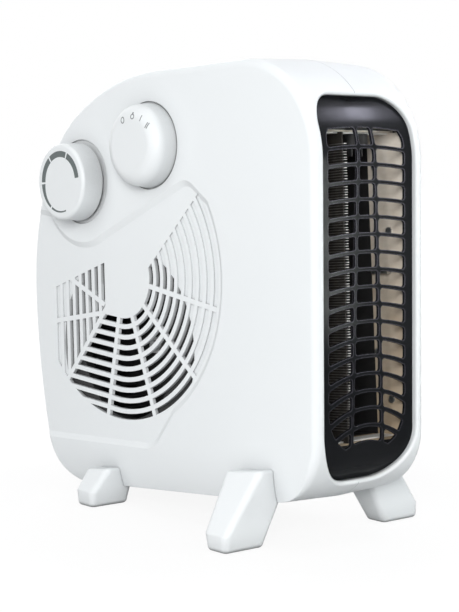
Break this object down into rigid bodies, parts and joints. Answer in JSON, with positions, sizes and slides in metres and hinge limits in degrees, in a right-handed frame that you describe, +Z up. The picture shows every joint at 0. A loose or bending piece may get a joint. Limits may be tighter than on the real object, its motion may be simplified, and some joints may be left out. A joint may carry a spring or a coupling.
{
  "type": "fan heater",
  "caption": "Upright fan heater: half shells on splayed feet, round air intake, rotary controls, tall outlet grille, wound element, centrifugal fan.",
  "frame": {"origin": "on the floor plane, in the middle of the object's width and depth", "axes": "+Z up, -Y towards the outlet grille at the front, -X towards the side with the controls and the intake"},
  "size_m": [0.1526, 0.2558, 0.2636],
  "materials": {
    "white_plastic": "gloss white moulded plastic",
    "black_plastic": "gloss black moulded plastic",
    "inner_plastic": "matt dark moulded plastic",
    "mica": "pressed mica sheet, tan",
    "steel": "zinc plated steel",
    "core_steel": "stacked electrical steel",
    "wire_alloy": "resistance alloy wire",
    "copper": "enamelled copper winding",
    "brass": "plain brass",
    "bronze": "sintered bronze"
  },
  "bodies": {
    "case": {"control_side_shell": "white_plastic", "far_side_shell": "white_plastic", "outlet_grille": "black_plastic", "front_foot_control_side": "white_plastic", "front_foot_far_side": "white_plastic", "rear_foot_control_side": "white_plastic", "rear_foot_far_side": "white_plastic", "foot_screws": "steel", "case_screws": "steel", "thermostat_body": "inner_plastic", "selector_switch": "inner_plastic", "thermostat_screws": "steel", "selector_screws": "steel", "inlet_ring": "inner_plastic", "air_duct": "inner_plastic", "stator_core": "core_steel", "coil_bobbin": "inner_plastic", "motor_coil": "copper", "front_bearing_bracket": "steel", "back_bearing_bracket": "steel", "front_bearing": "bronze", "back_bearing": "bronze", "motor_screws": "steel", "mica_board_control_side": "mica", "mica_board_far_side": "mica", "mica_end_top": "mica", "mica_end_bottom": "mica", "element_card": "mica", "heating_wire": "wire_alloy", "heater_straps": "steel", "heater_rivets": "steel", "thermal_cutout": "steel", "thermal_fuse": "steel", "cord_gland": "inner_plastic", "terminal_block": "white_plastic", "terminal_screws": "brass"},
    "fan_rotor": {"fan_wheel": "inner_plastic", "wheel_disc": "inner_plastic", "wheel_nut": "steel", "motor_shaft": "steel", "rotor_core": "core_steel"},
    "thermostat_control": {"thermostat_knob": "white_plastic", "thermostat_shaft": "steel"},
    "selector_control": {"selector_knob": "white_plastic", "selector_shaft": "steel"}
  },
  "joints": [
    {"name": "fan_spin", "type": "hinge", "parent": "case", "child": "fan_rotor", "pos_m": [0, 0.036, 0.09468], "axis": [-1, 0, 0], "continuous": true},
    {"name": "thermostat_turn", "type": "hinge", "parent": "case", "child": "thermostat_control", "pos_m": [-0.0425, 0.07721, 0.19184], "axis": [-1, 0, 0], "range_deg": [-135, 135]},
    {"name": "selector_turn", "type": "hinge", "parent": "case", "child": "selector_control", "pos_m": [-0.0425, 0.01368, 0.21456], "axis": [-1, 0, 0], "range_deg": [0, 90]}
  ]
}
